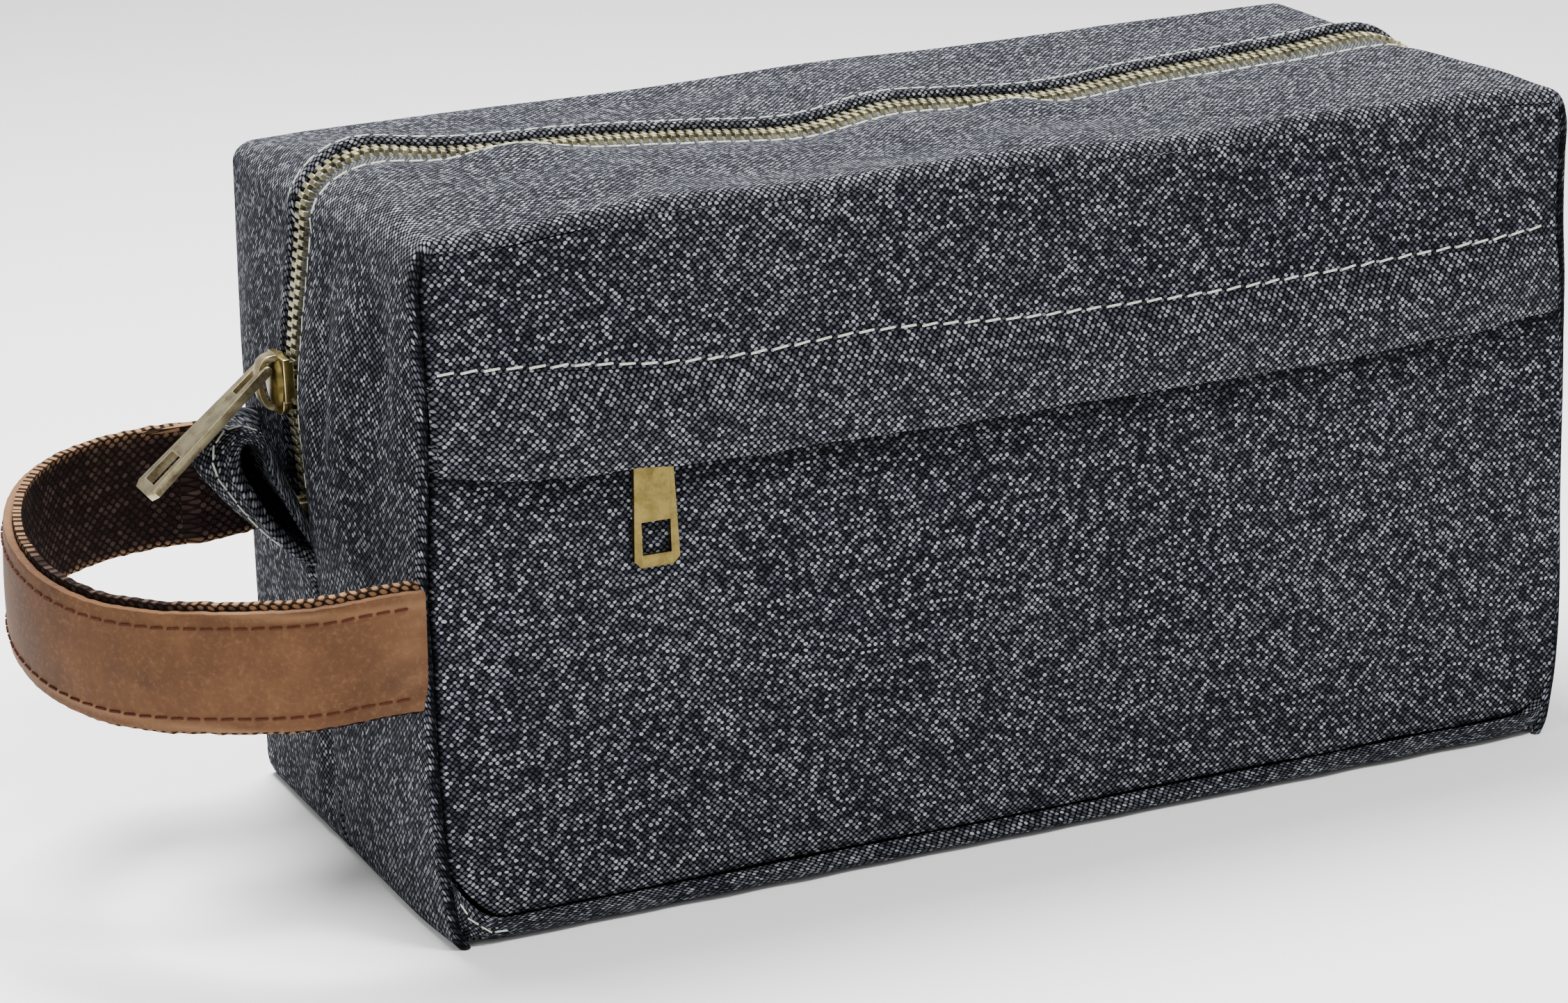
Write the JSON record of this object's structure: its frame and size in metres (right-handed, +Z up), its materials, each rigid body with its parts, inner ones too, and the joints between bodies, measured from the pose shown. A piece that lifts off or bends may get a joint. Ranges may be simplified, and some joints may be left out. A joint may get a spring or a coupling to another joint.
{
  "type": "shaving kit bag",
  "caption": "Canvas box bag for shaving kit, with a metal zip over the top, a flap pocket on the front and a leather strap loop on one end.",
  "frame": {"origin": "middle of the base, on the surface the bag stands on", "axes": "+X along the bag away from the strap handle, +Y from the pocket side to the back, +Z up"},
  "size_m": [0.3475, 0.1263, 0.15],
  "materials": {
    "canvas": "heavy washed cotton canvas, charcoal with a navy tint",
    "lining": "plain cotton lining",
    "zip_tape": "dark herringbone zip tape",
    "brass": "antique brass with worn bright edges",
    "leather": "waxed tan nubuck with darker mottling",
    "webbing": "coarse dark brown cotton webbing",
    "thread": "pale waxed thread"
  },
  "bodies": {
    "bag": {"front_lower_panel": "canvas", "front_upper_panel": "canvas", "back_panel": "canvas", "bottom_panel": "canvas", "left_end_panel": "canvas", "right_end_panel": "canvas", "bottom_welt": "canvas", "left_zip_fold": "canvas", "body_lining": "lining", "pocket_lining": "lining", "flap_edge_strip": "canvas", "flap_stitching": "thread", "zip_tape_left_front": "zip_tape", "zip_tape_left_rear": "zip_tape", "zip_tape_right_front": "zip_tape", "zip_tape_right_rear": "zip_tape", "zip_teeth_left_front": "brass", "zip_teeth_left_rear": "brass", "zip_teeth_right_front": "brass", "zip_teeth_right_rear": "brass", "zip_closed_stops": "brass", "zip_open_stop": "brass", "pocket_tape_upper": "zip_tape", "pocket_tape_lower": "zip_tape", "pocket_teeth_upper": "brass", "pocket_teeth_lower": "brass", "pocket_zip_stops": "brass"},
    "mouth_front": {"top_front_panel": "canvas", "top_front_lining": "lining", "zip_tape_top_front": "zip_tape", "zip_teeth_top_front": "brass"},
    "mouth_rear": {"top_rear_panel": "canvas", "top_rear_lining": "lining", "zip_tape_top_rear": "zip_tape", "zip_teeth_top_rear": "brass"},
    "main_slider": {"main_slider_body": "brass", "main_slider_bail": "brass"},
    "main_pull": {"main_pull": "brass"},
    "pocket_flap": {"pocket_flap": "canvas"},
    "pocket_slider": {"pocket_slider_body": "brass", "pocket_slider_bail": "brass"},
    "pocket_pull": {"pocket_pull": "brass"},
    "handle": {"handle_leather": "leather", "handle_webbing": "webbing"}
  },
  "joints": [
    {"name": "mouth_front_hinge", "type": "hinge", "parent": "bag", "child": "mouth_front", "pos_m": [0, -0.057, 0.147], "axis": [1, 0, 0], "range_deg": [0, 60]},
    {"name": "mouth_rear_hinge", "type": "hinge", "parent": "bag", "child": "mouth_rear", "pos_m": [0, 0.057, 0.147], "axis": [-1, 0, 0], "range_deg": [0, 60]},
    {"name": "main_slide", "type": "slide", "parent": "bag", "child": "main_slider", "axis": [0, 0, 1], "range_m": [-0.01, 0.024]},
    {"name": "main_pull_hinge", "type": "hinge", "parent": "main_slider", "child": "main_pull", "pos_m": [-0.1453, 0.005, 0.11], "axis": [0, 1, 0], "range_deg": [0, 125]},
    {"name": "flap_hinge", "type": "hinge", "parent": "bag", "child": "pocket_flap", "pos_m": [0, -0.061, 0.117], "axis": [-1, 0, 0], "range_deg": [0, 60]},
    {"name": "pocket_slide", "type": "slide", "parent": "bag", "child": "pocket_slider", "axis": [1, 0, 0], "range_m": [0, 0.17]},
    {"name": "pocket_pull_hinge", "type": "hinge", "parent": "pocket_slider", "child": "pocket_pull", "pos_m": [-0.0855, -0.061, 0.1086], "axis": [-1, 0, 0], "range_deg": [0, 48]},
    {"name": "handle_hinge", "type": "hinge", "parent": "bag", "child": "handle", "pos_m": [-0.15, 0.001, 0.0685], "axis": [0, 0.9952, 0.0976], "range_deg": [-20, 20]}
  ],
  "couplings": [
    {"joint": "pocket_pull_hinge", "follows": "flap_hinge", "ratio": 0.8}
  ]
}
